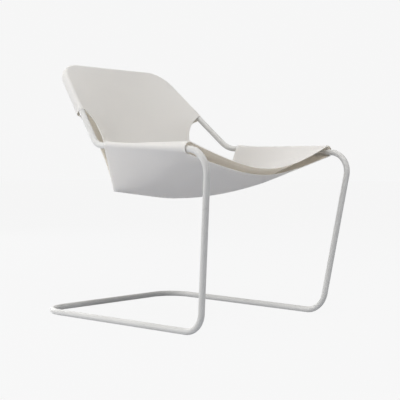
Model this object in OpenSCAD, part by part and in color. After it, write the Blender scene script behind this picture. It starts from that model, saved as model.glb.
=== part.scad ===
// Cantilever lounge chair: one round steel bar bent into a closed loop,
// with a double canvas cover that hoods the back and slings between the seat rails.
// Front of the chair is -Y, the sitter's left is +X, the floor is Z = 0.
// The origin is on the floor, in the middle of the bar frame.

/* [Bar frame] */
// Diameter of the round steel bar
bar_d = 19; // [16:0.5:24]
// Width of the base at its rear corners, between bar centre lines
base_rear_w = 605; // [520:5:680]
// Width of the base at the feet, between bar centre lines
base_front_w = 580; // [500:5:660]
// Length of the base, from the rear bar to the foot corners
base_l = 695; // [600:5:780]
// Width at the knees, where legs turn into seat rails
knee_w = 684; // [600:2:760]
// Height of the knee corners above the floor
knee_h = 521; // [460:1:600]
// How far the knee corners stand in front of the foot corners
knee_lead = 74; // [40:1:110]
// Width at the hips, where seat rails turn up into the back
hip_w = 612; // [560:2:680]
// Height of the hip corners above the floor
hip_h = 542; // [500:1:600]
// Distance from the knee corners back to the hip corners
seat_l = 491; // [470:1:560]
// Width of the back at its top corners
top_w = 450; // [400:2:520]
// Height of the top bar above the floor
top_h = 805; // [760:1:860]
// Distance from the hip corners back to the top bar
back_lean = 261; // [220:1:300]

/* [Bend radii, on the bar's centre line] */
// Rear corners of the base
base_corner_r = 88; // [60:1:100]
// Foot bends, base to leg
foot_r = 68; // [50:1:85]
// Knee bends, leg to seat rail
knee_r = 65; // [50:1:68]
// Hip bends, seat rail to back
hip_r = 75; // [50:1:90]
// Top corners of the back
top_r = 77; // [60:1:100]

/* [Canvas] */
// Thickness of the canvas
canvas_t = 1.2; // [0.8:0.1:1.6]
// Running clearance between bar and sleeve, and between canvas edges
canvas_gap = 0.3; // [0.2:0.05:0.5]

/* [Seat sling] */
// Distance from the knee corners to the front mouths of the seat sleeves
seat_mouth = 79; // [76:1:100]
// Distance from the hip corners to the rear ends of the seat sleeves
seat_sleeve_end = 51; // [44:1:90]
// How far the canvas stands up off the rail at the sleeves' front mouths
mouth_peak = 12; // [0:0.5:14]
// How far it stands up at their rear ends
rear_peak = 6; // [0:0.5:12]
// How far along the sleeve the front peak fades
mouth_peak_l = 45; // [30:5:90]
// How far along the sleeve the rear peak fades
rear_peak_l = 30; // [15:5:60]
// Drop of the upper layer's front edge below the rails, at the middle
upper_sag = 53; // [35:1:70]
// Clear space between the two layers at the middle of the front edge
front_layer_space = 20; // [10:1:30]
// How far the upper layer's front edge bows forward at the middle
front_bow = 13; // [0:1:25]
// Width between the lower rear corners, where seat and back are sewn together
seam_w = 514; // [460:2:560]
// Drop of the lower rear corners below the rails
seam_drop = 139; // [110:1:160]
// How far the seam lies behind the rear ends of the seat sleeves
seam_back = 27; // [15:1:40]
// Sag of the seam at its middle
seam_sag = 26; // [15:1:45]
// Extra hollow of the seat between its front edge and the seam
seat_belly = 22; // [0:1:35]

/* [Back hood] */
// Distance along the back bars from the hip corners to the hood's mouths
hood_mouth = 158; // [120:1:200]
// How far the hood's rear layer stands off behind the bar
hood_slack = 10; // [0:0.5:16]
// Extra hollow of the back between the seam and the top bar
back_bow = 12; // [0:1:30]
// How far the inner layer's side notches cut in beside the lower rear corners
notch_low_in = 72; // [30:1:80]
// How far the outer layer's notches cut in there
outer_notch_low_in = 65; // [30:1:80]
// How far the side notches run back above the lower rear corners
notch_low_back = 100; // [70:1:120]
// How far the side notches run up above the lower rear corners
notch_low_up = 99; // [60:1:130]
// How far the inner layer's notches cut in under the hood's mouths
notch_high_in = 92; // [40:1:100]
// How far the outer layer's notches cut in there
outer_notch_high_in = 85; // [40:1:100]
// How far the outer layer's notches run back there
outer_notch_high_back = 31; // [0:1:45]
// How far the side notches run down under the hood's mouths
notch_high_down = 50; // [20:1:80]

/* [Hidden] */

steel_colour = [0.80, 0.81, 0.80];
canvas_colour = [0.90, 0.89, 0.86];
lining_colour = [0.84, 0.82, 0.77];

LEFT = 1;
RIGHT = -1;
bar_r = bar_d / 2;
bar_fn = 96;

// Vector helpers
function unit(v) = v / norm(v);
function lerp(a, b, k) = a + (b - a) * k;
function flip_x(p) = [-p.x, p.y, p.z];
function bezier(p0, p1, p2, p3, k) =
    p0 * pow(1 - k, 3) + p1 * 3 * k * pow(1 - k, 2) + p2 * 3 * k * k * (1 - k) + p3 * pow(k, 3);

// The ten corners of the bar loop, before the bends round them off, the rear bar at y = 0.
// They run down the left side from the top, along the base, and up the right side.
knee_y = -base_l - knee_lead;
hip_y = knee_y + seat_l;
top_y = hip_y + back_lean;
side_corners = [
    [top_w / 2, top_y, top_h],
    [hip_w / 2, hip_y, hip_h],
    [knee_w / 2, knee_y, knee_h],
    [base_front_w / 2, -base_l, bar_r],
    [base_rear_w / 2, 0, bar_r]
];
side_radii = [top_r, hip_r, knee_r, foot_r, base_corner_r];
side_count = len(side_corners);
corners = concat(side_corners, [for (i = [side_count - 1 : -1 : 0]) flip_x(side_corners[i])]);
radii = concat(side_radii, [for (i = [side_count - 1 : -1 : 0]) side_radii[i]]);
corner_count = len(corners);

TOP = 0;
HIP = TOP + 1;
KNEE = HIP + 1;
FOOT = KNEE + 1;
BASE = FOOT + 1;

// Each bend is an arc that touches the two straight runs that meet at its corner
function corner(i) = corners[(i + corner_count) % corner_count];
function to_last(i) = unit(corner(i - 1) - corner(i));
function to_next(i) = unit(corner(i + 1) - corner(i));
function half_opening(i) = acos(to_last(i) * to_next(i)) / 2;
function tangent_l(i) = radii[i] / tan(half_opening(i));
function bend_start(i) = corner(i) + to_last(i) * tangent_l(i);
function bend_end(i) = corner(i) + to_next(i) * tangent_l(i);
function bend_centre(i) =
    corner(i) + unit(to_last(i) + to_next(i)) * radii[i] / sin(half_opening(i));

// The frame is centred front to back: the knee bends are its foremost points
function bend_normal(i) = unit(cross(to_last(i), to_next(i)));
function bend_front_y(i) = bend_centre(i).y - radii[i] * sqrt(1 - pow(bend_normal(i).y, 2));
frame_shift = [0, -bend_front_y(KNEE) / 2, 0];

// Index of a corner on the given side
function side_index(side, i) = side == LEFT ? i : corner_count - 1 - i;

// Places a shape drawn about the origin, with its x and z axes along the given unit vectors
module placed(x, z, at) {
    y = cross(z, x);
    multmatrix([
        [x.x, y.x, z.x, at.x],
        [x.y, y.y, z.y, at.y],
        [x.z, y.z, z.z, at.z],
        [0, 0, 0, 1]
    ])
        children();
}

// The straight run of the bar from corner i to the next one
module straight_run(i) {
    start = bend_end(i);
    run = bend_start((i + 1) % corner_count) - start;
    color(steel_colour)
        translate(frame_shift)
            placed(unit(start - bend_centre(i)), unit(run), start)
                cylinder(d = bar_d, h = norm(run), $fn = bar_fn);
}

// The run of the bar on one side that starts at the named corner and goes down to the next
module side_run(side, name) {
    straight_run(side == LEFT ? name : side_index(RIGHT, name) - 1);
}

// The bend of the bar at the named corner
module side_bend(side, name) {
    i = side_index(side, name);
    centre = bend_centre(i);
    color(steel_colour)
        translate(frame_shift)
            placed(unit(bend_start(i) - centre), unit(cross(to_next(i), to_last(i))), centre)
                rotate_extrude(angle = 180 - 2 * half_opening(i), $fn = bar_fn)
                    translate([radii[i], 0])
                        circle(d = bar_d, $fn = bar_fn);
}

// Canvas is a sheet of even thickness about a grid of points, row by row
function grid_step(rows, i, j, di, dj) =
    rows[min(i + di, len(rows) - 1)][min(j + dj, len(rows[0]) - 1)]
    - rows[max(i - di, 0)][max(j - dj, 0)];
function grid_normal(rows, i, j) = unit(cross(grid_step(rows, i, j, 1, 0), grid_step(rows, i, j, 0, 1)));
function grid_side(rows, offset) = [
    for (i = [0 : len(rows) - 1]) for (j = [0 : len(rows[0]) - 1])
        rows[i][j] + grid_normal(rows, i, j) * offset
];

module sheet(rows) {
    n = len(rows);
    m = len(rows[0]);
    points = concat(grid_side(rows, canvas_t / 2), grid_side(rows, -canvas_t / 2));
    function front(i, j) = i * m + j;
    function rear(i, j) = n * m + i * m + j;
    faces = concat(
        [for (i = [0 : n - 2]) for (j = [0 : m - 2]) each [
            [front(i, j), front(i, j + 1), front(i + 1, j + 1)],
            [front(i, j), front(i + 1, j + 1), front(i + 1, j)],
            [rear(i, j), rear(i + 1, j + 1), rear(i, j + 1)],
            [rear(i, j), rear(i + 1, j), rear(i + 1, j + 1)]
        ]],
        [for (j = [0 : m - 2]) each [
            [front(0, j), rear(0, j), rear(0, j + 1)],
            [front(0, j), rear(0, j + 1), front(0, j + 1)],
            [front(n - 1, j), rear(n - 1, j + 1), rear(n - 1, j)],
            [front(n - 1, j), front(n - 1, j + 1), rear(n - 1, j + 1)]
        ]],
        [for (i = [0 : n - 2]) each [
            [front(i, 0), rear(i + 1, 0), rear(i, 0)],
            [front(i, 0), front(i + 1, 0), rear(i + 1, 0)],
            [front(i, m - 1), rear(i, m - 1), rear(i + 1, m - 1)],
            [front(i, m - 1), rear(i + 1, m - 1), front(i + 1, m - 1)]
        ]]
    );
    polyhedron(points, faces);
}

// Sling: canvas leaves a rail tangentially, so its angle of slope is also its angle of wrap
wrap_r = bar_r + canvas_gap + canvas_t / 2;
mouth_y = knee_y + seat_mouth;
sleeve_end_y = hip_y - seat_sleeve_end;
seat_sleeve_l = sleeve_end_y - mouth_y;
function rail_point(y) = lerp(side_corners[KNEE], side_corners[HIP], (y - knee_y) / seat_l);
mouth_point = rail_point(mouth_y);
sleeve_end_point = rail_point(sleeve_end_y);
function sleeve_centre(k) = lerp(mouth_point, sleeve_end_point, k);

// The upper layer leaves the rail above and inside it, the lower layer below and outside it
UPPER = 1;
LOWER = -1;

// At a sleeve's ends the canvas is slack: it peaks over the rail and stands off a little below
peak_floor_share = 0.2;
function peak(k) =
    mouth_peak * exp(-k * seat_sleeve_l / mouth_peak_l)
    + rear_peak * exp(-(1 - k) * seat_sleeve_l / rear_peak_l);
function peak_share(turn) = lerp(1, peak_floor_share, 1 - pow(1 - turn, 3));
function sleeve_r(k, turn) = wrap_r + peak(k) * peak_share(turn);

// A hanging edge is two nearly straight lines with a round turn of share c between them
function turned(c, u) = (norm([c, u]) - c) / (norm([c, 1]) - c);
upper_turn_share = 0.65;
lower_turn_share = 0.45;
function turn_share(layer) = layer == UPPER ? upper_turn_share : lower_turn_share;
function hang(layer, u) = turned(turn_share(layer), u);
function hang_steepness(layer) =
    let (c = turn_share(layer))
    1 / norm([c, 1]) / (norm([c, 1]) - c);
function front_sag(layer) = layer == UPPER ? upper_sag : upper_sag + front_layer_space;
function front_bow(layer) = layer == UPPER ? front_bow : 0;
function front_rise(layer) =
    layer == UPPER ? front_sag(UPPER) + wrap_r + mouth_peak : front_sag(LOWER) - wrap_r;
function front_slope(layer) = atan(front_rise(layer) / mouth_point.x * hang_steepness(layer));
rear_slope = atan(seam_drop / (sleeve_end_point.x - seam_w / 2));
function slope(layer, k) = lerp(front_slope(layer), rear_slope, k);
function leave_point(layer, k) =
    sleeve_centre(k)
    + sleeve_r(k, layer == UPPER ? 0 : 1) * layer * [-sin(slope(layer, k)), 0, cos(slope(layer, k))];

// The seam where seat and back meet: its left end, and its middle
layer_space_at_seam = 3 * canvas_t;
function seam_lift(layer) = layer == UPPER ? layer_space_at_seam : 0;
function seam_end(layer) = [
    seam_w / 2 - seam_lift(layer) / 2,
    sleeve_end_y + seam_back - seam_lift(layer) / 2,
    sleeve_end_point.z - seam_drop + seam_lift(layer) / 2
];
function seam_middle(layer) = [
    0,
    seam_end(layer).y,
    sleeve_end_point.z - seam_drop - seam_sag + seam_lift(layer)
];
seam_turn_share = 0.15;
function seam_point(layer, x_share) = [
    seam_end(layer).x * x_share,
    seam_end(layer).y,
    lerp(seam_middle(layer).z, seam_end(layer).z, turned(seam_turn_share, x_share))
];

// Front and rear curves of the sling, s from 0 at the left rail to 1 at the middle
corner_share = 1 / 3;
function front_curve(layer, s) =
    let (
        u = 1 - s,
        start = leave_point(layer, 0),
        low = mouth_point.z - front_sag(layer)
    )
    [
        start.x * u,
        lerp(mouth_y - front_bow(layer), mouth_y, u * u),
        lerp(low, start.z, hang(layer, u))
    ];
function rear_curve(layer, s) =
    s < corner_share
    ? lerp(leave_point(layer, 1), seam_end(layer), s / corner_share)
    : seam_point(layer, (1 - s) / (1 - corner_share));

// The belly is deepest about half way back and fades out at every edge
belly_lead = 0.9;
belly_peak = pow(belly_lead / (1 + belly_lead), belly_lead) / (1 + belly_lead);
function belly(s, k) =
    seat_belly * pow(k, belly_lead) * (1 - k) / belly_peak * (1 - pow(1 - s, 2));
function sling_point(layer, s, k) =
    lerp(front_curve(layer, s), rear_curve(layer, s), k) - [0, 0, belly(s, k)];

// Rows of points lie closer together towards both ends, where the canvas peaks
sling_rows = 10;
sling_columns = 12;
function row_share(i) = (1 - cos(180 * i / sling_rows)) / 2;
seam_trim_share = 0.003;
function sling_row(layer, k) = concat(
    [for (j = [0 : sling_columns - 1]) sling_point(layer, j / sling_columns, k)],
    [sling_point(layer, 1, k)],
    [for (j = [sling_columns - 1 : -1 : 0]) flip_x(sling_point(layer, j / sling_columns, k))]
);

module seat_panel(layer) {
    color(layer == UPPER ? canvas_colour : lining_colour)
        translate(frame_shift)
            sheet([for (i = [0 : sling_rows]) sling_row(layer, row_share(i) * (1 - seam_trim_share))]);
}

// A seat sleeve wraps the rail from the upper layer's leaving line round to the lower one's
sleeve_columns = 10;
edge_angle = canvas_gap / wrap_r * 180 / PI;
function sleeve_point(k, j) =
    let (
        from = 90 + slope(UPPER, k) - edge_angle,
        to = slope(LOWER, k) - 90 + edge_angle,
        turn = j / sleeve_columns,
        angle = lerp(from, to, turn)
    )
    sleeve_centre(k) + sleeve_r(k, turn) * [cos(angle), 0, sin(angle)];

module seat_sleeve(side) {
    color(canvas_colour)
        translate(frame_shift)
            mirror([side == LEFT ? 0 : 1, 0, 0])
                sheet([
                    for (i = [0 : sling_rows])
                        [for (j = [sleeve_columns : -1 : 0]) sleeve_point(row_share(i), j)]
                ]);
}

// The back lies in a plane: up runs along it, behind is square to it, away from the sitter
back_up = unit([0, back_lean, top_h - hip_h]);
back_behind = unit([0, top_h - hip_h, -back_lean]);
back_l = norm([0, back_lean, top_h - hip_h]);
back_taper = atan((hip_w - top_w) / 2 / back_l);
back_base = [0, hip_y, hip_h];
INNER = 1;
OUTER = -1;

// Hood: the sleeve holds the bar from its inner side round to the outer layer behind
hood_wrap_angle = 20;
function hood_point(x, up, away_x, away_up, layer) =
    let (
        across = wrap_r * sin(hood_wrap_angle),
        behind = layer == INNER
            ? -wrap_r * cos(hood_wrap_angle)
            : hood_slack + wrap_r * cos(hood_wrap_angle)
    )
    back_base + [x - layer * across * away_x, 0, 0]
    + back_up * (up - layer * across * away_up) + back_behind * behind;

// The bar's centre line in the back plane, with its rounded top corner
top_arc_x = top_w / 2 - top_r * tan((90 - back_taper) / 2);
top_arc_up = back_l - top_r;
top_arc_start_up = top_arc_up + top_r * sin(back_taper);
mouth_up = hood_mouth * cos(back_taper);
function bar_x(up) =
    up < top_arc_start_up
    ? lerp(hip_w, top_w, up / back_l) / 2
    : top_arc_x + sqrt(max(0, pow(top_r, 2) - pow(up - top_arc_up, 2)));
function away(up) =
    up < top_arc_start_up
    ? [cos(back_taper), sin(back_taper)]
    : [bar_x(up) - top_arc_x, up - top_arc_up] / top_r;
function hood_edge(layer, up) = hood_point(bar_x(up), up, away(up).x, away(up).y, layer);

// Below the hood's mouth the panel's side is a free edge that curves down to the seam's end
function back_seam_end(layer) = seam_end(layer == INNER ? UPPER : LOWER) + [0, canvas_t, canvas_t];
function back_seam_middle(layer) =
    seam_middle(layer == INNER ? UPPER : LOWER) + [0, canvas_t, canvas_t];
function notch_low(layer) =
    [layer == INNER ? -notch_low_in : -outer_notch_low_in, notch_low_back, notch_low_up];
function notch_high(layer) = layer == INNER
    ? [-notch_high_in, 0, -notch_high_down]
    : [-outer_notch_high_in, outer_notch_high_back, -notch_high_down];
function notch_edge(layer, k) =
    let (low = back_seam_end(layer), high = hood_edge(layer, mouth_up))
    bezier(low, low + notch_low(layer), high + notch_high(layer), high, k);

notch_rows = 10;
hood_rows = 12;
function back_edge(layer, i) =
    i <= notch_rows
    ? notch_edge(layer, i / notch_rows)
    : hood_edge(layer, lerp(mouth_up, back_l, sin(90 * (i - notch_rows) / hood_rows)));

// The middle line of the back runs from the seam to the top bar with a slight hollow
function outer_bow(layer) = layer == INNER ? back_bow : back_bow + hood_slack / 2;
function back_middle(layer, height_share) =
    lerp(back_seam_middle(layer), hood_point(0, back_l, 0, 1, layer), height_share)
    + back_behind * outer_bow(layer) * sin(180 * height_share);
function back_height_share(layer, p) =
    (p.z - back_seam_end(layer).z) / (hood_edge(layer, back_l).z - back_seam_end(layer).z);
function back_point(edge, middle, s, row_turn_share) = [
    edge.x * s,
    lerp(middle.y, edge.y, s * s),
    lerp(middle.z, edge.z, turned(row_turn_share, s))
];

// Its lowest row follows the seam, and the rows above it grow rounder
back_columns = 8;
back_turn_share = 1.5;
function back_row(layer, i) =
    let (
        edge = back_edge(layer, i),
        height_share = back_height_share(layer, edge),
        middle = back_middle(layer, height_share),
        row_turn_share = lerp(seam_turn_share, back_turn_share, height_share)
    )
    [for (j = [-back_columns : back_columns])
        let (p = back_point(edge, middle, abs(j) / back_columns, row_turn_share))
        j < 0 ? flip_x(p) : p];

module back_panel(layer) {
    color(layer == INNER ? canvas_colour : lining_colour)
        translate(frame_shift)
            sheet([for (i = [0 : notch_rows + hood_rows]) back_row(layer, i)]);
}

// Cross section of the hood's sleeve, x away from the chair's middle, y behind the bar
sleeve_arc_steps = 12;
function arc(r, from, to, shift) = [
    for (i = [0 : sleeve_arc_steps])
        let (angle = lerp(from, to, i / sleeve_arc_steps))
        r * [cos(angle), sin(angle)] + [0, shift]
];
inner_r = wrap_r - canvas_t / 2;
outer_r = wrap_r + canvas_t / 2;
hood_arc_end = 90 + hood_wrap_angle - edge_angle;
hood_arc_start = 90 - hood_wrap_angle - edge_angle;

module hood_section() {
    polygon(concat(
        arc(outer_r, -hood_arc_end, 0, 0),
        arc(outer_r, 0, hood_arc_start, hood_slack),
        arc(inner_r, hood_arc_start, 0, hood_slack),
        arc(inner_r, 0, -hood_arc_end, 0)
    ));
}

// Places a shape drawn in the back plane: x across, y up the back, z behind it
module in_back_plane() {
    translate(frame_shift + back_base)
        multmatrix([
            [1, 0, 0, 0],
            [0, back_up.y, back_behind.y, 0],
            [0, back_up.z, back_behind.z, 0],
            [0, 0, 0, 1]
        ])
            children();
}

// The hood's sleeve down one side, from the top corner to its mouth
module hood_side_sleeve(side) {
    color(canvas_colour)
        in_back_plane()
            mirror([side == LEFT ? 0 : 1, 0, 0])
                translate([bar_x(top_arc_start_up), top_arc_start_up, 0])
                    rotate([90, 0, back_taper])
                        linear_extrude((top_arc_start_up - mouth_up) / cos(back_taper))
                            hood_section();
}

// The hood's sleeve round one top corner
module hood_corner(side) {
    color(canvas_colour)
        in_back_plane()
            mirror([side == LEFT ? 0 : 1, 0, 0])
                translate([top_arc_x, top_arc_up, 0])
                    rotate([0, 0, back_taper])
                        rotate_extrude(angle = 90 - back_taper, $fn = bar_fn)
                            translate([top_r, 0])
                                hood_section();
}

// The hood's sleeve along the top bar
module hood_top_sleeve() {
    color(canvas_colour)
        in_back_plane()
            translate([-top_arc_x, back_l, 0])
                rotate([90, 0, 90])
                    linear_extrude(2 * top_arc_x)
                        hood_section();
}

straight_run(side_index(LEFT, BASE));  // rear_base_bar
side_bend(LEFT, BASE);  // left_rear_bend
side_bend(RIGHT, BASE);  // right_rear_bend
side_run(LEFT, FOOT);  // left_base_bar
side_run(RIGHT, FOOT);  // right_base_bar
side_bend(LEFT, FOOT);  // left_foot_bend
side_bend(RIGHT, FOOT);  // right_foot_bend
side_run(LEFT, KNEE);  // left_leg
side_run(RIGHT, KNEE);  // right_leg
side_bend(LEFT, KNEE);  // left_knee_bend
side_bend(RIGHT, KNEE);  // right_knee_bend
side_run(LEFT, HIP);  // left_seat_rail
side_run(RIGHT, HIP);  // right_seat_rail
side_bend(LEFT, HIP);  // left_hip_bend
side_bend(RIGHT, HIP);  // right_hip_bend
side_run(LEFT, TOP);  // left_back_bar
side_run(RIGHT, TOP);  // right_back_bar
side_bend(LEFT, TOP);  // left_top_bend
side_bend(RIGHT, TOP);  // right_top_bend
straight_run(side_index(RIGHT, TOP));  // top_bar
seat_panel(UPPER);  // seat_upper_panel
seat_panel(LOWER);  // seat_lower_panel
seat_sleeve(LEFT);  // left_seat_sleeve
seat_sleeve(RIGHT);  // right_seat_sleeve
back_panel(INNER);  // back_inner_panel
back_panel(OUTER);  // back_outer_panel
hood_side_sleeve(LEFT);  // left_hood_sleeve
hood_side_sleeve(RIGHT);  // right_hood_sleeve
hood_corner(LEFT);  // left_hood_corner
hood_corner(RIGHT);  // right_hood_corner
hood_top_sleeve();  // top_hood_sleeve
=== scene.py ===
# %% [markdown]
# Cantilever lounge chair
#
# The real chair is two things: one steel bar, bent into a closed loop and powder coated,
# and one canvas cover, a double layer that hoods the back and slings between the seat rails.
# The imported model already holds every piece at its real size. The bar could be drawn again
# as a curve with a round bevel, but its solids are exact, so it keeps them and only gets a
# finish. The canvas is made again here as thin sewn cloth, with hems, a weave and stitches.

import bpy
import math
import numpy as np
from mathutils import Matrix, Vector


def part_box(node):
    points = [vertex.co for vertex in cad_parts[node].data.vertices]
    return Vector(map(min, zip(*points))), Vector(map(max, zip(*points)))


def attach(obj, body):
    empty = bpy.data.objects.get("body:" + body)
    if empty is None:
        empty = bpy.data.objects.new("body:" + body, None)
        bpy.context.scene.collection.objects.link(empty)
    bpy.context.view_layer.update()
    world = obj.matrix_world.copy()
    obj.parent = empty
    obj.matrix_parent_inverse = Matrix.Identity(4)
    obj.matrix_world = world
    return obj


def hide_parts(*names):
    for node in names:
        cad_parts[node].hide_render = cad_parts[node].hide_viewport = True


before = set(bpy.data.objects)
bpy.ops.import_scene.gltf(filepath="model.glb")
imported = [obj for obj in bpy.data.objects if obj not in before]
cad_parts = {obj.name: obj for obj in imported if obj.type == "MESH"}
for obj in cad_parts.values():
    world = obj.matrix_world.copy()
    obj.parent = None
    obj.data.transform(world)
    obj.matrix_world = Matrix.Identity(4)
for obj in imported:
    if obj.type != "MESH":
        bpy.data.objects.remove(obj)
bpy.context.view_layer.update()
print("nodes", len(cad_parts))

# %% [markdown]
# The camera comes first, because every later choice is judged through it. It could be set
# by eye, but its place and directions were worked out from the corners of the bar as the
# photograph shows them. It stands low, about level with the seat, and three metres away with
# a long lens, so that the chair keeps its proportions.

# %% Camera
MM = 0.001
CAMERA_PLACE = Vector((-2232.1, -2092.5, 468.9)) * MM
CAMERA_FORWARD = Vector((0.7368, 0.6753, -0.0325)).normalized()
CAMERA_RIGHT = Vector((0.6756, -0.7372, 0.0005)).normalized()
SENSOR_W = 36
PICTURE_W = 400
FOCAL_PIXELS = 948


def put_in_scene(name, data):
    """Makes an object of a camera, a mesh or a lamp and puts it in the scene."""
    made = bpy.data.objects.new(name, data)
    bpy.context.collection.objects.link(made)
    return made


camera_data = bpy.data.cameras.new("camera")
camera_data.sensor_width = SENSOR_W
camera_data.lens = FOCAL_PIXELS / PICTURE_W * SENSOR_W
camera = put_in_scene("camera", camera_data)
camera_up = CAMERA_RIGHT.cross(CAMERA_FORWARD)
camera.matrix_world = Matrix((CAMERA_RIGHT, camera_up, -CAMERA_FORWARD)).transposed().to_4x4()
camera.location = CAMERA_PLACE
bpy.context.scene.camera = camera
print("lens", round(camera_data.lens, 2))

# %% [markdown]
# A material is a graph of nodes. It could be wired by hand in the shader editor. Here it is
# written as sums, because a line of Python is easier to read again than a screen of wires.
# One class wraps a socket, and each + or * on it, from either side, adds a Math node.


# %% Shader sums
class Value:
    """A number that varies over a surface: sums on it add Math nodes."""

    def __init__(self, graph, socket):
        self.graph = graph
        self.socket = socket

    def math(self, operation, *numbers):
        return self.graph.node("ShaderNodeMath", {"operation": operation}, dict(enumerate(numbers)))

    def __add__(self, other):
        return self.math("ADD", self, other)

    def __radd__(self, other):
        return self.math("ADD", other, self)

    def __mul__(self, other):
        return self.math("MULTIPLY", self, other)

    def __rmul__(self, other):
        return self.math("MULTIPLY", other, self)

    def sine(self):
        return self.math("SINE", self)


print("sums: + and *, and a sine")

# %% [markdown]
# Every node comes from one method. It takes the kind of node, its settings, and what goes
# into its sockets, a plain number or colour or a link from another node. The settings are
# set first, because they decide which sockets a node has.


# %% One way to add a node
class Graph:
    """A tree of shader nodes, and one method that adds any node."""

    def __init__(self, tree):
        self.tree = tree

    def node(self, kind, settings, inputs, output=0):
        """Adds a node and gives back one output, or several where output is a tuple."""
        made = self.tree.nodes.new(kind)
        for key, setting in settings.items():
            if key == "stops":
                self.set_stops(made.color_ramp, setting)
            else:
                setattr(made, key, setting)
        for key, given in inputs.items():
            self.feed(made.inputs[key], given)
        if isinstance(output, tuple):
            return [Value(self, made.outputs[name]) for name in output]
        return Value(self, made.outputs[output])

    def set_stops(self, ramp, stops):
        for index, (place, level) in enumerate(stops):
            stop = ramp.elements[index] if index < len(ramp.elements) else ramp.elements.new(place)
            stop.position = place
            stop.color = (level, level, level, 1)

    def feed(self, socket, given):
        if isinstance(given, Value):
            self.tree.links.new(given.socket, socket)
        else:
            socket.default_value = given

    def noise(self, place, scale, detail):
        """Cloudy noise between 0 and 1: scale says how fine, detail how rough."""
        inputs = {"Vector": place, "Scale": scale, "Detail": detail}
        return self.node("ShaderNodeTexNoise", {}, inputs)


print("nodes are made by", Graph.node.__name__)

# %% [markdown]
# A finish is a material with one main shader, Blender's Principled BSDF, which can be paint
# as well as cloth. Colours are blended in a Mix node, since a Math node would turn them grey.
# A second shader can be mixed into the main one, for light that the main one can't give.

# %% A finish
MIX_LOW = 6
MIX_HIGH = 7
MIX_COLOUR = 2
SCREEN_WHITE = 255
SCREEN_GAMMA = 2.2


class Finish(Graph):
    """A material with its main shader."""

    def __init__(self, name):
        self.material = bpy.data.materials.new(name)
        self.material.use_nodes = True
        super().__init__(self.material.node_tree)
        self.shader = self.tree.nodes["Principled BSDF"]

    def give(self, name, given):
        self.feed(self.shader.inputs[name], given)

    def blend(self, mask, low, high):
        """The low colour where the mask is 0, the high one where it is 1."""
        inputs = {0: mask, MIX_LOW: low, MIX_HIGH: high}
        return self.node("ShaderNodeMix", {"data_type": "RGBA"}, inputs, output=MIX_COLOUR)

    def emboss(self, height, strength, distance):
        """Makes the surface look raised where the height is greater."""
        inputs = {"Strength": strength, "Distance": distance, "Height": height}
        self.give("Normal", self.node("ShaderNodeBump", {}, inputs))

    def mix_in(self, kind, colour, share):
        """Mixes a second shader of one colour into the main one."""
        main = Value(self, self.shader.outputs[0])
        second = self.node(kind, {}, {"Color": colour})
        both = self.node("ShaderNodeMixShader", {}, {0: share, 1: main, 2: second})
        self.feed(self.tree.nodes["Material Output"].inputs["Surface"], both)


def linear(red, green, blue):
    """A colour as it looks on screen, 0 to 255, turned into the linear numbers a shader takes."""
    return tuple((c / SCREEN_WHITE) ** SCREEN_GAMMA for c in (red, green, blue)) + (1.0,)


print("middle grey on screen is", round(linear(128, 128, 128)[0], 3), "to a shader")

# %% [markdown]
# The bar is powder coated: a sprayed powder melted into a thin, slightly pebbled skin with a
# satin sheen. One flat colour would do from far away, but close up it would look like plastic.
# So fine noise makes the pebbling, slow noise makes the coat uneven, and a ramp keeps only
# the peaks of a third noise as a few scuffs.

# %% Powder coat
PEBBLES = {"scale": 900.0, "detail": 2.0}
DRIFT = {"scale": 9.0, "detail": 3.0}
SCUFFS = {"scale": 55.0, "detail": 6.0}
SCUFF_STOPS = [(0.66, 0.0), (0.74, 1.0)]
SCUFF_SHARE = 0.35
COAT_DARK = linear(195, 194, 191)
COAT_LIGHT = linear(205, 204, 201)
COAT_WORN = linear(175, 174, 172)
COAT_ROUGHNESS = 0.36
COAT_ROUGHER = 0.12


def make_powder_coat():
    finish = Finish("powder_coat")
    place = finish.node("ShaderNodeTexCoord", {}, {}, output="Object")
    pebbles = finish.noise(place, **PEBBLES)
    drift = finish.noise(place, **DRIFT)
    scuffs = finish.noise(place, **SCUFFS)
    scuff_mask = finish.node("ShaderNodeValToRGB", {"stops": SCUFF_STOPS}, {"Fac": scuffs})
    coat = finish.blend(drift, COAT_DARK, COAT_LIGHT)
    finish.give("Base Color", finish.blend(scuff_mask * SCUFF_SHARE, coat, COAT_WORN))
    roughness = COAT_ROUGHNESS + drift * COAT_ROUGHER + scuff_mask * COAT_ROUGHER
    finish.give("Roughness", roughness)
    finish.emboss(pebbles, strength=0.12, distance=0.4 * MM)
    finish.give("Specular IOR Level", 0.3)
    return finish.material


powder_coat = make_powder_coat()
print(powder_coat.name, "nodes", len(powder_coat.node_tree.nodes))

# %% [markdown]
# The cover is canvas in plain weave: warp and weft threads pass over and under one another.
# A picture of cloth could be tiled over it, but a tile repeats and has one size only. Here
# two sine waves, one each way along the cloth, are multiplied into the weave's chequer of
# small bumps. Real thread is uneven, so noise that is drawn out along the warp, and again
# along the weft, adds its thick and thin lengths, the slubs.

# %% The weave and its slubs
THREAD_PITCH = 0.9 * MM
WARP_STRETCH = (900.0, 26.0, 1.0)
WEFT_STRETCH = (26.0, 900.0, 1.0)
SLUBS = {"scale": 1.0, "detail": 2.0}


def weave_bumps(finish, place):
    """Between 0 and 1, with one bump or hollow at each crossing of the threads."""
    across, along = finish.node("ShaderNodeSeparateXYZ", {}, {0: place}, output=("X", "Y"))
    turn = 2 * math.pi / THREAD_PITCH
    return (across * turn).sine() * (along * turn).sine() * 0.5 + 0.5


def slubs(finish, place, stretch):
    inputs = {0: place, 1: stretch}
    drawn_out = finish.node("ShaderNodeVectorMath", {"operation": "MULTIPLY"}, inputs)
    return finish.noise(drawn_out, **SLUBS)


print("threads per metre", round(1 / THREAD_PITCH))

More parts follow.
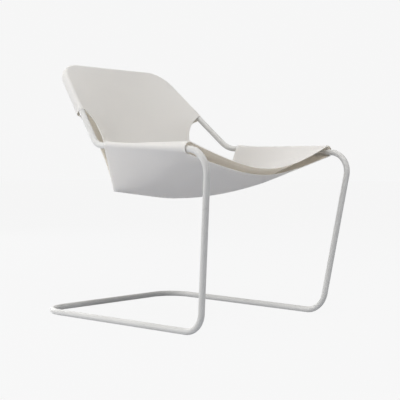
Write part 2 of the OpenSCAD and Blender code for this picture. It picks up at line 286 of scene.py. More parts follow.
# %% [markdown]
# The canvas is off-white, dry and soft, and daylight comes through it. Slow noise stands for
# the marks of handling that keep a pale cloth from looking like plastic. The main shader can
# let light through by itself, but as glass does, which is slow and grainy. So a share of the
# Translucent shader is mixed in. The cloth's own lengths in metres are kept as its UV map, so
# the weave has its real size everywhere and follows each fold.

# %% Canvas
GRAIN = {"scale": 260.0, "detail": 4.0}
HANDLING = {"scale": 7.0, "detail": 5.0}
SLUB_SHADE = 0.3
HANDLING_SHADE = 0.25
WEAVE_SHADE = 0.15
WEAVE_HEIGHT = 0.6
GRAIN_HEIGHT = 0.25
SLUB_HEIGHT = 0.2
HANDLING_HEIGHT = 2.5
CANVAS_ROUGHNESS = 0.82
CANVAS_ROUGHER = 0.12
THROUGH_SHARE = 0.39
THROUGH_LIGHT = linear(249, 247, 242)


def make_canvas(name, dark, light):
    finish = Finish(name)
    place = finish.node("ShaderNodeUVMap", {"uv_map": "cloth"}, {})
    weave = weave_bumps(finish, place)
    grain = finish.noise(place, **GRAIN)
    warp = slubs(finish, place, WARP_STRETCH)
    weft = slubs(finish, place, WEFT_STRETCH)
    handling = finish.noise(place, **HANDLING)
    shade = warp * SLUB_SHADE + weft * SLUB_SHADE + handling * HANDLING_SHADE + weave * WEAVE_SHADE
    finish.give("Base Color", finish.blend(shade, dark, light))
    finish.give("Roughness", CANVAS_ROUGHNESS + handling * CANVAS_ROUGHER)
    height = weave * WEAVE_HEIGHT + grain * GRAIN_HEIGHT + warp * SLUB_HEIGHT + weft * SLUB_HEIGHT
    finish.emboss(height + handling * HANDLING_HEIGHT, strength=0.35, distance=0.5 * MM)
    finish.give("Sheen Weight", 0.12)
    finish.give("Sheen Roughness", 0.5)
    finish.give("Specular IOR Level", 0.2)
    finish.mix_in("ShaderNodeBsdfTranslucent", THROUGH_LIGHT, THROUGH_SHARE)
    return finish.material


print("light comes through the canvas for", THROUGH_SHARE, "of its shading")

# %% [markdown]
# The canvas's face is nearly white, and its reverse, between the two layers, is browner and
# darker. The seat's reverse is darker and browner still, as painted shade for the inside of the
# seat. One material for both sides would be less work, but then the opening at the front would
# be as bright as the seat. So the same recipe is used three times, with a dark and a light
# colour for each.

# %% Face and reverse
canvas_face = make_canvas("canvas", dark=linear(233, 233, 233), light=linear(246, 246, 246))
# The seat's reverse is painted darker and browner than the back's: painted shade inside the seat.
shaded_seat_reverse = make_canvas("shaded_seat_reverse", dark=linear(171, 158, 140), light=linear(187, 174, 156))
back_reverse = make_canvas("back_reverse", dark=linear(189, 181, 168), light=linear(205, 197, 184))
for material in (canvas_face, shaded_seat_reverse, back_reverse):
    print(material.name, "nodes", len(material.node_tree.nodes))

# %% [markdown]
# The hems are sewn with a smooth twisted thread, a little yellower than the cloth. Its fibres
# could be drawn one by one, but it is less than a millimetre thick, so a fine noise in its
# colour and roughness says enough.

# %% Thread
THREAD_FUZZ = {"scale": 700.0, "detail": 2.0}
THREAD_DARK = linear(222, 217, 205)
THREAD_LIGHT = linear(243, 240, 232)
THREAD_ROUGHNESS = 0.55
THREAD_ROUGHER = 0.2


def make_thread():
    finish = Finish("thread")
    place = finish.node("ShaderNodeTexCoord", {}, {}, output="Object")
    fuzz = finish.noise(place, **THREAD_FUZZ)
    finish.give("Base Color", finish.blend(fuzz, THREAD_DARK, THREAD_LIGHT))
    finish.give("Roughness", THREAD_ROUGHNESS + fuzz * THREAD_ROUGHER)
    return finish.material


thread = make_thread()
print(thread.name, "nodes", len(thread.node_tree.nodes))

# %% [markdown]
# The real bar is one length of steel. The model cuts it at its bend lines, into straight runs
# and bends that already have their exact shape. They could be joined into one object again,
# but each piece keeps its own name for whoever uses the model, so they only take the coat.

# %% Dress the bar
BAR_NODES = [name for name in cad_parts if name.endswith(("_bar", "_bend", "_leg", "_rail"))]
for name in BAR_NODES:
    node_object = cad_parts[name]
    node_object.data.materials.clear()
    node_object.data.materials.append(powder_coat)
print("bar pieces", len(BAR_NODES))

# %% [markdown]
# The cover hangs from the bar. It could be left to a cloth simulation, but it is stretched
# between fixed bars and has hardly any free folds, so formulas come closer to the photograph.
# They start from three corners on the sitter's left, where the bar's straight runs would meet
# if it had no bends: the knee at the front of the seat, the hip behind it, and the top of the
# back. The corners are counted from the base's rear bar, so they are shifted to where the
# model has it. The chair is the same on both sides, so the right side is the left mirrored.

# %% The bar's corners and the canvas's sizes, in metres
BAR_R = 9.5 * MM
CANVAS_T = 1.2 * MM
SLEEVE_GAP = 0.3 * MM
WRAP_R = BAR_R + SLEEVE_GAP + CANVAS_T / 2
REAR_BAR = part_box("rear_base_bar")
SHIFT_Y = (REAR_BAR[0][1] + REAR_BAR[1][1]) / 2
KNEE = np.array([342.0, -769.0, 521.0]) * MM + [0, SHIFT_Y, 0]
HIP = np.array([306.0, -278.0, 542.0]) * MM + [0, SHIFT_Y, 0]
TOP = np.array([225.0, -17.0, 805.0]) * MM + [0, SHIFT_Y, 0]
TOP_BEND_R = 77 * MM
SEAT_L = 491 * MM


def lerp(a, b, share):
    """From a at share 0 to b at share 1."""
    return a + (b - a) * share


def mirrored(points):
    return points * [-1, 1, 1]


print("rear bar at", round(SHIFT_Y, 4))

# %% [markdown]
# The seat's canvas wraps each rail in a sleeve, which ends short of the knee and the hip. It
# is tight in the middle and slack at its two mouths, where the cloth stands up off the rail.
# A plain pipe would be simpler, but the raised mouths show in the photograph, so the sleeve's
# radius has a peak at each end that dies away along the rail.

# %% The seat's sleeves
MOUTH_Y = KNEE[1] + 79 * MM
SLEEVE_END_Y = HIP[1] - 51 * MM
SLEEVE_L = SLEEVE_END_Y - MOUTH_Y
MOUTH_PEAK = 12 * MM
REAR_PEAK = 6 * MM
MOUTH_PEAK_L = 45 * MM
REAR_PEAK_L = 30 * MM
PEAK_FLOOR = 0.2


def rail_point(y):
    return lerp(KNEE, HIP, (y - KNEE[1]) / SEAT_L)


def peak(k):
    """How far the cloth stands off the rail at share k of the sleeve, from front to rear."""
    front = MOUTH_PEAK * math.exp(-k * SLEEVE_L / MOUTH_PEAK_L)
    return front + REAR_PEAK * math.exp(-(1 - k) * SLEEVE_L / REAR_PEAK_L)


def sleeve_r(k, turn):
    """Radius of the sleeve, turn from 0 at the upper layer to 1 at the lower one."""
    return WRAP_R + peak(k) * lerp(1, PEAK_FLOOR, 1 - (1 - turn) ** 3)


MOUTH = rail_point(MOUTH_Y)
SLEEVE_END = rail_point(SLEEVE_END_Y)
print("sleeve from", MOUTH.round(4), "to", SLEEVE_END.round(4))

# %% [markdown]
# Between the rails hang two layers, the upper one that a sitter meets and the lower one under
# it. A catenary would be the curve of a free chain. Canvas hangs in two flatter runs with a
# round turn between them, so the curve is a hyperbola, whose turn can be wide or tight. The
# cloth leaves the rail tangentially: the steeper it hangs, the further it wraps.

# %% How a layer hangs from its rail
UPPER = 1
LOWER = -1
FRONT_SAG = {UPPER: 53 * MM, LOWER: 73 * MM}
TURN_SHARE = {UPPER: 0.65, LOWER: 0.45}
SEAM_HALF_W = 257 * MM
SEAM_DROP = 139 * MM


def turned(turn_share, u):
    """Height share of a hanging edge, 0 in the middle and 1 at its end, where u is 1."""
    return (math.hypot(turn_share, u) - turn_share) / (math.hypot(turn_share, 1) - turn_share)


def slope(layer, k):
    """Angle below level at which a layer leaves the rail, at share k from front to rear."""
    reach = math.hypot(TURN_SHARE[layer], 1)
    steepness = 1 / reach / (reach - TURN_SHARE[layer])
    lift = WRAP_R + MOUTH_PEAK if layer == UPPER else -WRAP_R
    front = math.atan((FRONT_SAG[layer] + lift) / MOUTH[0] * steepness)
    rear = math.atan(SEAM_DROP / (SLEEVE_END[0] - SEAM_HALF_W))
    return lerp(front, rear, k)


def leave_point(layer, k):
    """Where a layer leaves the sleeve."""
    angle = slope(layer, k)
    radius = sleeve_r(k, 0 if layer == UPPER else 1)
    outwards = np.array([-math.sin(angle), 0, math.cos(angle)])
    return lerp(MOUTH, SLEEVE_END, k) + radius * layer * outwards


print("upper layer leaves at", round(math.degrees(slope(UPPER, 0)), 1), "degrees in front")

# %% [markdown]
# Seat and back are sewn together along a low seam. On each side it starts at a corner below
# and behind the sleeve's end, and between the corners it sags. Each layer could have its own
# rear edge, but all four meet in this seam, so it is worked out once for all of them. The
# upper layer's edge only lies a few millimetres above the lower one's, to keep them apart.

# %% The seam behind the seat
SEAM_BACK = 27 * MM
SEAM_SAG = 26 * MM
SEAM_TURN_SHARE = 0.15
SEAM_LIFT = {UPPER: 3.6 * MM, LOWER: 0}


def seam_end(layer):
    """The seam's corner on the sitter's left."""
    lift = SEAM_LIFT[layer]
    return np.array([
        SEAM_HALF_W - lift / 2,
        SLEEVE_END_Y + SEAM_BACK - lift / 2,
        SLEEVE_END[2] - SEAM_DROP + lift / 2,
    ])


def seam_point(layer, x_share):
    """The seam from the chair's middle, at share 0, to its corner."""
    end = seam_end(layer)
    low = SLEEVE_END[2] - SEAM_DROP - SEAM_SAG + SEAM_LIFT[layer]
    z = lerp(low, end[2], turned(SEAM_TURN_SHARE, x_share))
    return np.array([end[0] * x_share, end[1], z])


print("seam corner at", seam_end(UPPER).round(4))

# %% [markdown]
# A layer's front edge hangs in a shallow curve. Its rear edge runs straight down from the
# sleeve to the seam's corner and then follows the seam. The sharp corner there comes from the
# sewing. It could run forward through the whole sling as a crease, but real cloth rounds it
# off, so each row averages the rear edge over a reach that grows towards the front.

# %% The sling's edges
FRONT_BOW = {UPPER: 13 * MM, LOWER: 0}
CORNER_SHARE = 1 / 3
CORNER_EASE = 0.4
EASE_STEPS = np.linspace(-1, 1, 9)


def front_curve(layer, s):
    """The front edge, from the rail at share 0 to the chair's middle at share 1."""
    u = 1 - s
    start = leave_point(layer, 0)
    return np.array([
        start[0] * u,
        lerp(MOUTH_Y - FRONT_BOW[layer], MOUTH_Y, u * u),
        lerp(MOUTH[2] - FRONT_SAG[layer], start[2], turned(TURN_SHARE[layer], u)),
    ])


def rear_curve(layer, s):
    if s < CORNER_SHARE:
        return lerp(leave_point(layer, 1), seam_end(layer), s / CORNER_SHARE)
    return seam_point(layer, (1 - s) / (1 - CORNER_SHARE))


def eased_rear_curve(layer, s, k):
    """The rear curve, whose corners the cloth rounds off more the further forward it is."""
    reach = min(CORNER_EASE * (1 - k), s, 1 - s)
    return sum(rear_curve(layer, s + reach * step) for step in EASE_STEPS) / len(EASE_STEPS)


print("front edge sags to", front_curve(UPPER, 1).round(4))

# %% [markdown]
# Between its two edges the sling sinks into a belly, deepest near the middle, and a few slack
# folds cross it. A noise would scatter the folds, but real ones follow the pull of the cloth,
# so they are a slanting wave. It fades out towards the rail, both edges and the middle.

# %% The sling between its edges
SEAT_BELLY = 22 * MM
BELLY_LEAD = 0.9
BELLY_PEAK = (BELLY_LEAD / (1 + BELLY_LEAD)) ** BELLY_LEAD / (1 + BELLY_LEAD)
FOLD_DEPTH = 1.2 * MM
FOLD_SPREAD = 1.6
FOLDS_ACROSS = 22
FOLDS_ALONG = 9


def belly(s, k):
    return SEAT_BELLY * k**BELLY_LEAD * (1 - k) / BELLY_PEAK * (1 - (1 - s) ** 2)


def drag(s, k):
    """Slack folds that run from the front mouths towards the seam's corners."""
    spread = s * FOLD_SPREAD
    if spread >= 1:
        return 0
    fade = math.sin(math.pi * k) * math.sin(math.pi * spread)
    return FOLD_DEPTH * fade * math.sin(FOLDS_ACROSS * s - FOLDS_ALONG * k)


def sling_point(layer, s, k):
    """A point of a layer: s from the rail to the chair's middle, k from front to rear."""
    point = lerp(front_curve(layer, s), eased_rear_curve(layer, s, k), k)
    return point - np.array([0, 0, belly(s, k) + drag(s, k)])


print("middle of the seat at", sling_point(UPPER, 1, 0.5).round(4))

# %% [markdown]
# Threads keep their pitch however the cloth hangs. A UV map could be unwrapped by Blender,
# but it would turn and scale the weave as it likes. The cloth is built as grids of points, so
# its lengths can be measured instead: across along each row, and along down each column.


# %% The cloth's own lengths
def grid_lengths(grid):
    """Length across and along at each point of a grid of points, in metres."""
    across = np.linalg.norm(np.diff(grid, axis=1), axis=2)
    along = np.linalg.norm(np.diff(grid, axis=0), axis=2)
    u = np.concatenate([np.zeros((grid.shape[0], 1)), np.cumsum(across, axis=1)], axis=1)
    v = np.concatenate([np.zeros((1, grid.shape[1])), np.cumsum(along, axis=0)], axis=0)
    u -= u.mean(axis=1, keepdims=True)
    return u, v


SQUARE = np.array([[[x, y, 0.0] for x in (0, 1)] for y in (0, 1)])
print("a square of 1 m is", np.ptp(grid_lengths(SQUARE)[0]), "m across")

# %% [markdown]
# Real canvas is cut flat and sewn. Here the grids share their edges: points of two grids that
# fall on the same place become one, which is how the cloth is sewn into a tube or a hood.
# Separate sheets laid edge to edge would be less work, but they would show gaps. Each point
# also keeps a weight, which is 1 where it lies in a hem.

# %% Sew grids into one cloth
WELD = 0.02 * MM


class Cloth:
    """Collects grids of points and sews them where they share a place."""

    def __init__(self, name):
        self.name = name
        self.points = []
        self.index = {}
        self.hems = []
        self.faces = []
        self.uvs = []

    def add_point(self, point, hem):
        key = tuple(np.round(point / WELD).astype(int))
        if key not in self.index:
            self.index[key] = len(self.points)
            self.points.append(point)
            self.hems.append(hem)
        place = self.index[key]
        self.hems[place] = max(self.hems[place], hem)
        return place

    def add_grid(self, grid, hem, flip=False):
        """Adds a grid, turned over where flip is set, and leaves out faces without area."""
        u, v = grid_lengths(grid)
        rows, columns = grid.shape[:2]
        places = [
            [self.add_point(grid[i, j], hem[i, j]) for j in range(columns)] for i in range(rows)
        ]
        for i in range(rows - 1):
            for j in range(columns - 1):
                cell = [(i, j), (i, j + 1), (i + 1, j + 1), (i + 1, j)]
                if flip:
                    cell.reverse()
                loop = {}
                for a, b in cell:
                    loop.setdefault(places[a][b], (u[a, b], v[a, b]))
                if len(loop) > 2:
                    self.faces.append(list(loop))
                    self.uvs.extend(loop.values())


print("points closer than", WELD / MM, "mm are sewn together")

# %% [markdown]
# The sewn grids become a mesh object. It could be drawn with Blender's edit tools, but the
# points are already worked out, so from_pydata takes them as they are. The mesh gets the
# face's material first and the reverse's second, its lengths as a UV map, and a vertex group
# that holds the hem weights.


# %% Lay the cloth out
def lay_out(cloth, reverse):
    """The sewn cloth as an object without thickness."""
    mesh = bpy.data.meshes.new(cloth.name)
    mesh.from_pydata([tuple(p) for p in cloth.points], [], cloth.faces)
    lengths = mesh.uv_layers.new(name="cloth")
    for loop, uv in zip(lengths.data, cloth.uvs):
        loop.uv = uv
    mesh.materials.append(canvas_face)
    mesh.materials.append(reverse)
    piece = put_in_scene(cloth.name, mesh)
    group = piece.vertex_groups.new(name="hem")
    for place, hem in enumerate(cloth.hems):
        group.add([place], hem, "REPLACE")
    return piece


print("cloth is laid out by", lay_out.__name__)

# %% [markdown]
# So far the cloth is a surface without thickness. Both its sides could be modelled by hand,
# but the Solidify modifier does that from one surface. A hem is cloth folded over and
# stitched, so it is nearly twice as thick: the hem weights tell the modifier where. It also
# gives the reverse its own material. The modifier is applied, so that the weave's lengths and
# the smooth shading are stored with the mesh itself.

# %% Give the cloth its thickness
HEM_T = 2.2 * MM
SHARP_ANGLE = math.radians(50)


def thicken(piece):
    thickness = piece.modifiers.new("thickness", "SOLIDIFY")
    thickness.thickness = HEM_T
    thickness.offset = 0
    thickness.vertex_group = "hem"
    thickness.thickness_vertex_group = CANVAS_T / HEM_T
    thickness.material_offset = 1
    bpy.context.view_layer.update()
    depsgraph = bpy.context.evaluated_depsgraph_get()
    solid = bpy.data.meshes.new_from_object(piece.evaluated_get(depsgraph))
    piece.modifiers.clear()
    piece.data = solid
    solid.name = piece.name
    for face in solid.polygons:
        face.use_smooth = True
    solid.set_sharp_from_angle(angle=SHARP_ANGLE)


def make_cloth(cloth, reverse):
    piece = lay_out(cloth, reverse)
    thicken(piece)
    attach(piece, "root")
    print(piece.name, "faces", len(piece.data.polygons))
    return piece


print("a hem is", round(HEM_T / CANVAS_T, 2), "times as thick as the cloth")

# %% [markdown]
# The seat is a flat tube of canvas round both rails. One row of points goes once round it:
# across the upper layer, round the far rail, back across the lower layer and round the near
# rail. One half is worked out, from the middle of the upper layer to the middle of the lower
# one. Rows lie close together at the front and rear edges, where the hems need them.

# %% The seat's rows
SLING_COLUMNS = 48
SLEEVE_COLUMNS = 14
FRONT_HEM_ROWS = [0, 0.004, 0.026]
OPEN_ROWS = [0.03, *np.linspace(0.06, 0.92, 34), 0.955]
REAR_HEM_ROWS = [0.966, 0.99, 0.997]
SEAT_ROWS = FRONT_HEM_ROWS + OPEN_ROWS + REAR_HEM_ROWS


def half_layer(layer, k):
    return [sling_point(layer, j / SLING_COLUMNS, k) for j in range(SLING_COLUMNS + 1)]


def rail_wrap(k):
    """Points round the left rail, from where the upper layer leaves it to the lower one."""
    start = math.pi / 2 + slope(UPPER, k)
    end = slope(LOWER, k) - math.pi / 2
    centre = lerp(MOUTH, SLEEVE_END, k)
    row = []
    for j in range(SLEEVE_COLUMNS + 1):
        turn = j / SLEEVE_COLUMNS
        angle = lerp(start, end, turn)
        row.append(centre + sleeve_r(k, turn) * np.array([math.cos(angle), 0, math.sin(angle)]))
    return row


def seat_row(k):
    return half_layer(UPPER, k)[::-1] + rail_wrap(k)[1:] + half_layer(LOWER, k)[1:]


left_half = np.array([seat_row(k) for k in SEAT_ROWS])
right_half = mirrored(left_half)
print("seat grid", left_half.shape[:2], "for each half")

# %% [markdown]
# A Mirror modifier could add the other half of the seat, but its points are here already and
# share those along the chair's middle, so sewing makes both into one tube. The mirrored half
# is turned over, or its reverse would face outwards. The cloth stands in for the model's two
# seat panels and two sleeves.

# %% Seat
row_hem = [1.0] * len(FRONT_HEM_ROWS) + [0.0] * len(OPEN_ROWS) + [1.0] * len(REAR_HEM_ROWS)
seat_hem = np.repeat(np.array(row_hem)[:, None], left_half.shape[1], axis=1)

seat_cloth = Cloth("seat_canvas")
seat_cloth.add_grid(left_half, seat_hem)
seat_cloth.add_grid(right_half, seat_hem, flip=True)
# The seat's reverse material is painted darker, as painted shade for the inside of the seat.
seat_canvas = make_cloth(seat_cloth, shaded_seat_reverse)
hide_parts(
    "seat_upper_panel", "seat_lower_panel", "left_seat_sleeve", "right_seat_sleeve"
)

# %% [markdown]
# The back lies in one sloping plane, from the hips up to the top bar. All its points could be
# given in the chair's own directions, but the slope would then be in every formula. So they
# are given in the back's directions: across the chair, up the slope, and behind the plane.

# %% The back's own directions
BACK_RISE = np.array([0, TOP[1] - HIP[1], TOP[2] - HIP[2]])
BACK_L = np.linalg.norm(BACK_RISE)
BACK_UP = BACK_RISE / BACK_L
BACK_BEHIND = np.array([0, BACK_UP[2], -BACK_UP[1]])
BACK_BASE = np.array([0, HIP[1], HIP[2]])


def in_back(x, up, behind):
    return BACK_BASE + np.array([x, 0, 0]) + BACK_UP * up + BACK_BEHIND * behind


print("back length", round(BACK_L, 4))

# %% [markdown]
# The back bars come closer together towards the top and turn into the top bar on a round
# bend. The hood follows the bar's middle line, so it needs to know two things at each height:
# how far out the bar is, and which way is outwards. Both could be measured on the solids, but
# a straight line and an arc give them exactly.

# %% The bar in the back's plane
TAPER = math.atan((HIP[0] - TOP[0]) / BACK_L)
TOP_ARC_X = TOP[0] - TOP_BEND_R * math.tan((math.pi / 2 - TAPER) / 2)
TOP_ARC_UP = BACK_L - TOP_BEND_R
TOP_ARC_START = TOP_ARC_UP + TOP_BEND_R * math.sin(TAPER)


def bar_x(up):
    if up < TOP_ARC_START:
        return lerp(HIP[0], TOP[0], up / BACK_L)
    return TOP_ARC_X + math.sqrt(max(0, TOP_BEND_R**2 - (up - TOP_ARC_UP) ** 2))


def away(up):
    """Direction outwards from the bar, square to it, as a share across and a share up."""
    if up < TOP_ARC_START:
        return np.array([math.cos(TAPER), math.sin(TAPER)])
    return np.array([bar_x(up) - TOP_ARC_X, up - TOP_ARC_UP]) / TOP_BEND_R


print("each back bar leans in by", round(math.degrees(TAPER), 2), "degrees")

# %% [markdown]
# The back's cover is a hood of two layers. The inner one, which a sitter leans on, runs from
# the front of one bar to the front of the other, and the outer one hangs behind them with
# some slack. Two plain sheets would be simpler, but then the bar would have no cloth round
# it. Here each layer ends on the bar, a little inwards, where the cloth round it takes over.

# %% The hood's edges
INNER = 1
OUTER = -1
MOUTH_UP = 158 * MM * math.cos(TAPER)
HOOD_SLACK = 10 * MM
WRAP_ANGLE = math.radians(20)


def hood_point(x, up, out, layer):
    """Where a layer leaves the bar, whose middle line is at x and up, with out outwards."""
    across = WRAP_R * math.sin(WRAP_ANGLE)
    depth = WRAP_R * math.cos(WRAP_ANGLE)
    behind = -depth if layer == INNER else HOOD_SLACK + depth
    return in_back(x - across * out[0], up - across * out[1], behind)


def hood_edge(layer, up):
    return hood_point(bar_x(up), up, away(up), layer)


print("hood mouth at", hood_edge(INNER, MOUTH_UP).round(4))

# %% [markdown]
# On each side a deep notch is cut into the cover: from the hood's mouth the layer's edge runs
# in and down, and then out to the seam's corner. It could be an arc, but its two ends differ
# too much for that. A Bezier curve sets the direction at each end with one handle, and the
# two layers have slightly different handles, as the photograph shows.

# %% The side notches
NOTCH_LOW = {INNER: np.array([-71, 107, 99]) * MM, OUTER: np.array([-65, 100, 99]) * MM}
NOTCH_HIGH = {INNER: np.array([-91, 7, -50]) * MM, OUTER: np.array([-85, 31, -50]) * MM}


def back_seam(layer):
    """The seam's corner and its middle, as the back's layers reach them."""
    seat_layer = UPPER if layer == INNER else LOWER
    lift = np.array([0, CANVAS_T, CANVAS_T])
    return seam_end(seat_layer) + lift, seam_point(seat_layer, 0) + lift


def bezier(p0, p1, p2, p3, k):
    m = 1 - k
    return p0 * m**3 + p1 * 3 * k * m * m + p2 * 3 * k * k * m + p3 * k**3


def notch_edge(layer, k):
    """The notch's edge, from the seam's corner at share 0 up to the hood's mouth."""
    low = back_seam(layer)[0]
    high = hood_edge(layer, MOUTH_UP)
    return bezier(low, low + NOTCH_LOW[layer], high + NOTCH_HIGH[layer], high, k)


print("middle of the notch at", notch_edge(INNER, 0.5).round(4))

# %% [markdown]
# A layer of the back is filled in row by row, from one edge to the other. Straight rows would
# be flat as a board. Real canvas bows backwards where nothing holds it, so each row goes
# through a middle point that bows most at half height. The lowest row follows the seam, and
# the rows above it grow rounder.

# %% The back's rows
BACK_BOW = {INNER: 12 * MM, OUTER: 17 * MM}
BACK_TURN_SHARE = 1.5


def back_middle(layer, height_share):
    top = hood_point(0, BACK_L, (0, 1), layer)
    bow = BACK_BEHIND * BACK_BOW[layer] * math.sin(math.pi * height_share)
    return lerp(back_seam(layer)[1], top, height_share) + bow


def back_row(layer, edge, shares):
    """One row through an edge point, at shares from -1 at one edge to 1 at the other."""
    low = back_seam(layer)[0][2]
    high = hood_edge(layer, BACK_L)[2]
    height_share = (edge[2] - low) / (high - low)
    middle = back_middle(layer, height_share)
    turn_share = lerp(SEAM_TURN_SHARE, BACK_TURN_SHARE, height_share)
    row = []
    for s in shares:
        y = lerp(middle[1], edge[1], s * s)
        z = lerp(middle[2], edge[2], turned(turn_share, s))
        row.append(np.array([edge[0] * s, y, z]))
    return row


print("middle of the back at", back_middle(INNER, 0.5).round(4))

# %% [markdown]
# The rows of each layer start along the notch and go on under the hood. Even steps would turn
# the round top corner into a few straight cuts, so the rows move closer together near the
# top. As in the seat, the points lie close together at the free edges, for the hem.

# %% The back's two layers
NOTCH_ROWS = 30
HOOD_ROWS = 34
OPEN_COLUMNS = [0, *np.linspace(0.04, 0.92, 22), 0.942]
HEM_COLUMNS = [0.95, 0.99, 1.0]
BACK_COLUMNS = OPEN_COLUMNS + HEM_COLUMNS
BACK_SHARES = np.array([-s for s in BACK_COLUMNS[:0:-1]] + BACK_COLUMNS)


def hood_heights():
    rises = [math.sin(math.pi / 2 * i / HOOD_ROWS) for i in range(HOOD_ROWS + 1)]
    return [lerp(MOUTH_UP, BACK_L, rise) for rise in rises]


def back_edges(layer):
    notch = [notch_edge(layer, i / NOTCH_ROWS) for i in range(NOTCH_ROWS + 1)]
    return notch + [hood_edge(layer, up) for up in hood_heights()[1:]]


def back_grid(layer):
    return np.array([back_row(layer, edge, BACK_SHARES) for edge in back_edges(layer)])


inner_grid = back_grid(INNER)
outer_grid = back_grid(OUTER)
print("back grid", inner_grid.shape[:2], "for each layer")

# %% [markdown]
# The two layers are joined by a strip of cloth that goes round the bar. A pipe along the bar
# would leave it to chance how the layers meet it. The strip starts at one mouth, goes over
# the top and comes down to the other, and its two long edges are the very points where the
# layers stop, so that all three are sewn into one hood.

# %% The strip round the bar
STRIP_COLUMNS = 12


def strip_path():
    """The bar's middle line under the hood, from the left mouth over the top: x, up, away."""
    left = [(bar_x(up), up, away(up)) for up in hood_heights()]
    top = [(TOP_ARC_X * s, BACK_L, np.array([0.0, 1.0])) for s in BACK_SHARES[::-1][1:-1]]
    right = [(-x, up, out * [-1, 1]) for x, up, out in left[::-1]]
    return left + top + right


def strip_row(x, up, out):
    """Points round the bar, from the inner layer's edge to the outer layer's."""
    half = math.pi / 2 + WRAP_ANGLE
    turn = [lerp(-half, 0, j / STRIP_COLUMNS) for j in range(STRIP_COLUMNS + 1)]
    turn = [(a, 0) for a in turn] + [(-a, HOOD_SLACK) for a in turn[::-1]]
    row = []
    for angle, slack in turn:
        reach = WRAP_R * math.cos(angle)
        behind = WRAP_R * math.sin(angle) + slack
        row.append(in_back(x + reach * out[0], up + reach * out[1], behind))
    return row


strip_grid = np.array([strip_row(*place) for place in strip_path()])
print("strip grid", strip_grid.shape[:2])

# %% [markdown]
# Three objects, one for each grid, would look nearly the same, but a gap would show wherever
# a layer meets the strip, so all three are sewn into one cloth. Its free edges along the
# notches are hemmed. The outer layer is turned over, so that its face looks backwards and its
# reverse looks into the hood. The cloth stands in for the model's two back panels and for the
# hood's sleeves and corners.

# %% Back hood
notch_hem = np.zeros(inner_grid.shape[:2])
notch_hem[: NOTCH_ROWS + 1] = np.abs(BACK_SHARES) >= HEM_COLUMNS[0]
strip_hem = np.zeros(strip_grid.shape[:2])

back_cloth = Cloth("back_canvas")
back_cloth.add_grid(inner_grid, notch_hem)
back_cloth.add_grid(outer_grid, notch_hem, flip=True)
back_cloth.add_grid(strip_grid, strip_hem)
back_canvas = make_cloth(back_cloth, back_reverse)
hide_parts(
    "back_inner_panel",
    "back_outer_panel",
    "left_hood_sleeve",
    "right_hood_sleeve",
    "left_hood_corner",
    "right_hood_corner",
    "top_hood_sleeve",
)

# %% [markdown]
# Each hem is held by a line of stitches. They could be painted into the material, but real
# ones stand a little above the cloth and catch the light. So each stitch is a small mesh: a
# slim spindle of four rings, thin at both ends, that lies along the line.

# %% The points of a stitch
STITCH_PITCH = 4.2 * MM
STITCH_L = 3.0 * MM
STITCH_R = 0.4 * MM
STITCH_SIDES = 6
STITCH_RINGS = [(-0.5, 0.25), (-0.3, 1.0), (0.3, 1.0), (0.5, 0.25)]
# Any direction will do here that no seam runs in: it only sets where a stitch's sides begin.
NO_SEAM_WAY = [0.31, 0.52, 0.79]


def unit(vector):
    return vector / np.linalg.norm(vector)


def stitch_points(place, direction):
    """Rings of points: each ring has its place along the stitch and its width, as shares."""
    side = unit(np.cross(direction, NO_SEAM_WAY))
    lift = np.cross(direction, side)
    points = []
    for along, width in STITCH_RINGS:
        for turn in range(STITCH_SIDES):
            angle = 2 * math.pi * turn / STITCH_SIDES
            around = side * math.cos(angle) + lift * math.sin(angle)
            points.append(place + direction * along * STITCH_L + around * width * STITCH_R)
    return points


print("points of a stitch", len(stitch_points(MOUTH, BACK_UP)))

# %% [markdown]
# The spindle's points are joined by a band of four-sided faces from each ring to the next,
# and one face closes each end. A ready-made cylinder would need to be scaled and turned for
# each stitch. With so many stitches it is quicker to count the points and write the faces.


# %% The faces of a stitch
def stitch_faces(first):
    """The sides and the two ends of a stitch whose points are counted from first."""
    faces = []
    for ring in range(len(STITCH_RINGS) - 1):
        for turn in range(STITCH_SIDES):
            a = first + ring * STITCH_SIDES + turn
            b = first + ring * STITCH_SIDES + (turn + 1) % STITCH_SIDES
            faces.append((a, b, b + STITCH_SIDES, a + STITCH_SIDES))
    last = first + (len(STITCH_RINGS) - 1) * STITCH_SIDES
    faces.append(tuple(range(first, first + STITCH_SIDES))[::-1])
    faces.append(tuple(range(last, last + STITCH_SIDES)))
    return faces


print("faces of a stitch", len(stitch_faces(0)))

# %% [markdown]
# A hem is sewn with evenly spaced stitches. A particle system could scatter them, but they
# have to follow one line in one direction. So the line is measured, and a stitch is set down
# at every step of it, turned the way that the line goes there.


# %% A line of stitches
def along_line(points, step):
    """Even steps along a run of points: place and direction at each."""
    points = np.array(points)
    lengths = np.linalg.norm(np.diff(points, axis=0), axis=1)
    reached = np.concatenate([[0], np.cumsum(lengths)])
    spots = np.arange(step / 2, reached[-1], step)
    places = np.array([np.interp(spots, reached, points[:, a]) for a in range(3)]).T
    ahead = np.array([np.interp(spots + step / 4, reached, points[:, a]) for a in range(3)]).T
    return [(p, unit(q - p)) for p, q in zip(places, ahead)]


def sew(name, lines):
    """Stitches along each line, as one piece of thread."""
    points = []
    faces = []
    for line in lines:
        for place, direction in along_line(line, STITCH_PITCH):
            faces += stitch_faces(len(points))
            points += stitch_points(place, direction)
    mesh = bpy.data.meshes.new(name)
    mesh.from_pydata([tuple(p) for p in points], [], faces)
    for face in mesh.polygons:
        face.use_smooth = True
    mesh.materials.append(thread)
    piece = put_in_scene(name, mesh)
    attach(piece, "root")
    print(name, "faces", len(faces))


print("stitches per metre", round(1 / STITCH_PITCH))

# %% [markdown]
# A needle goes through the hem, so thread shows on both sides of it. The lines could be
# traced on the finished mesh, but the grids already hold them: each follows one row of a
# grid, where the hem ends, and is lifted off the cloth to both sides by half the hem's
# thickness.

# %% Sew the hems
STITCH_LIFT = HEM_T / 2
LEAST_LENGTH = 1e-12


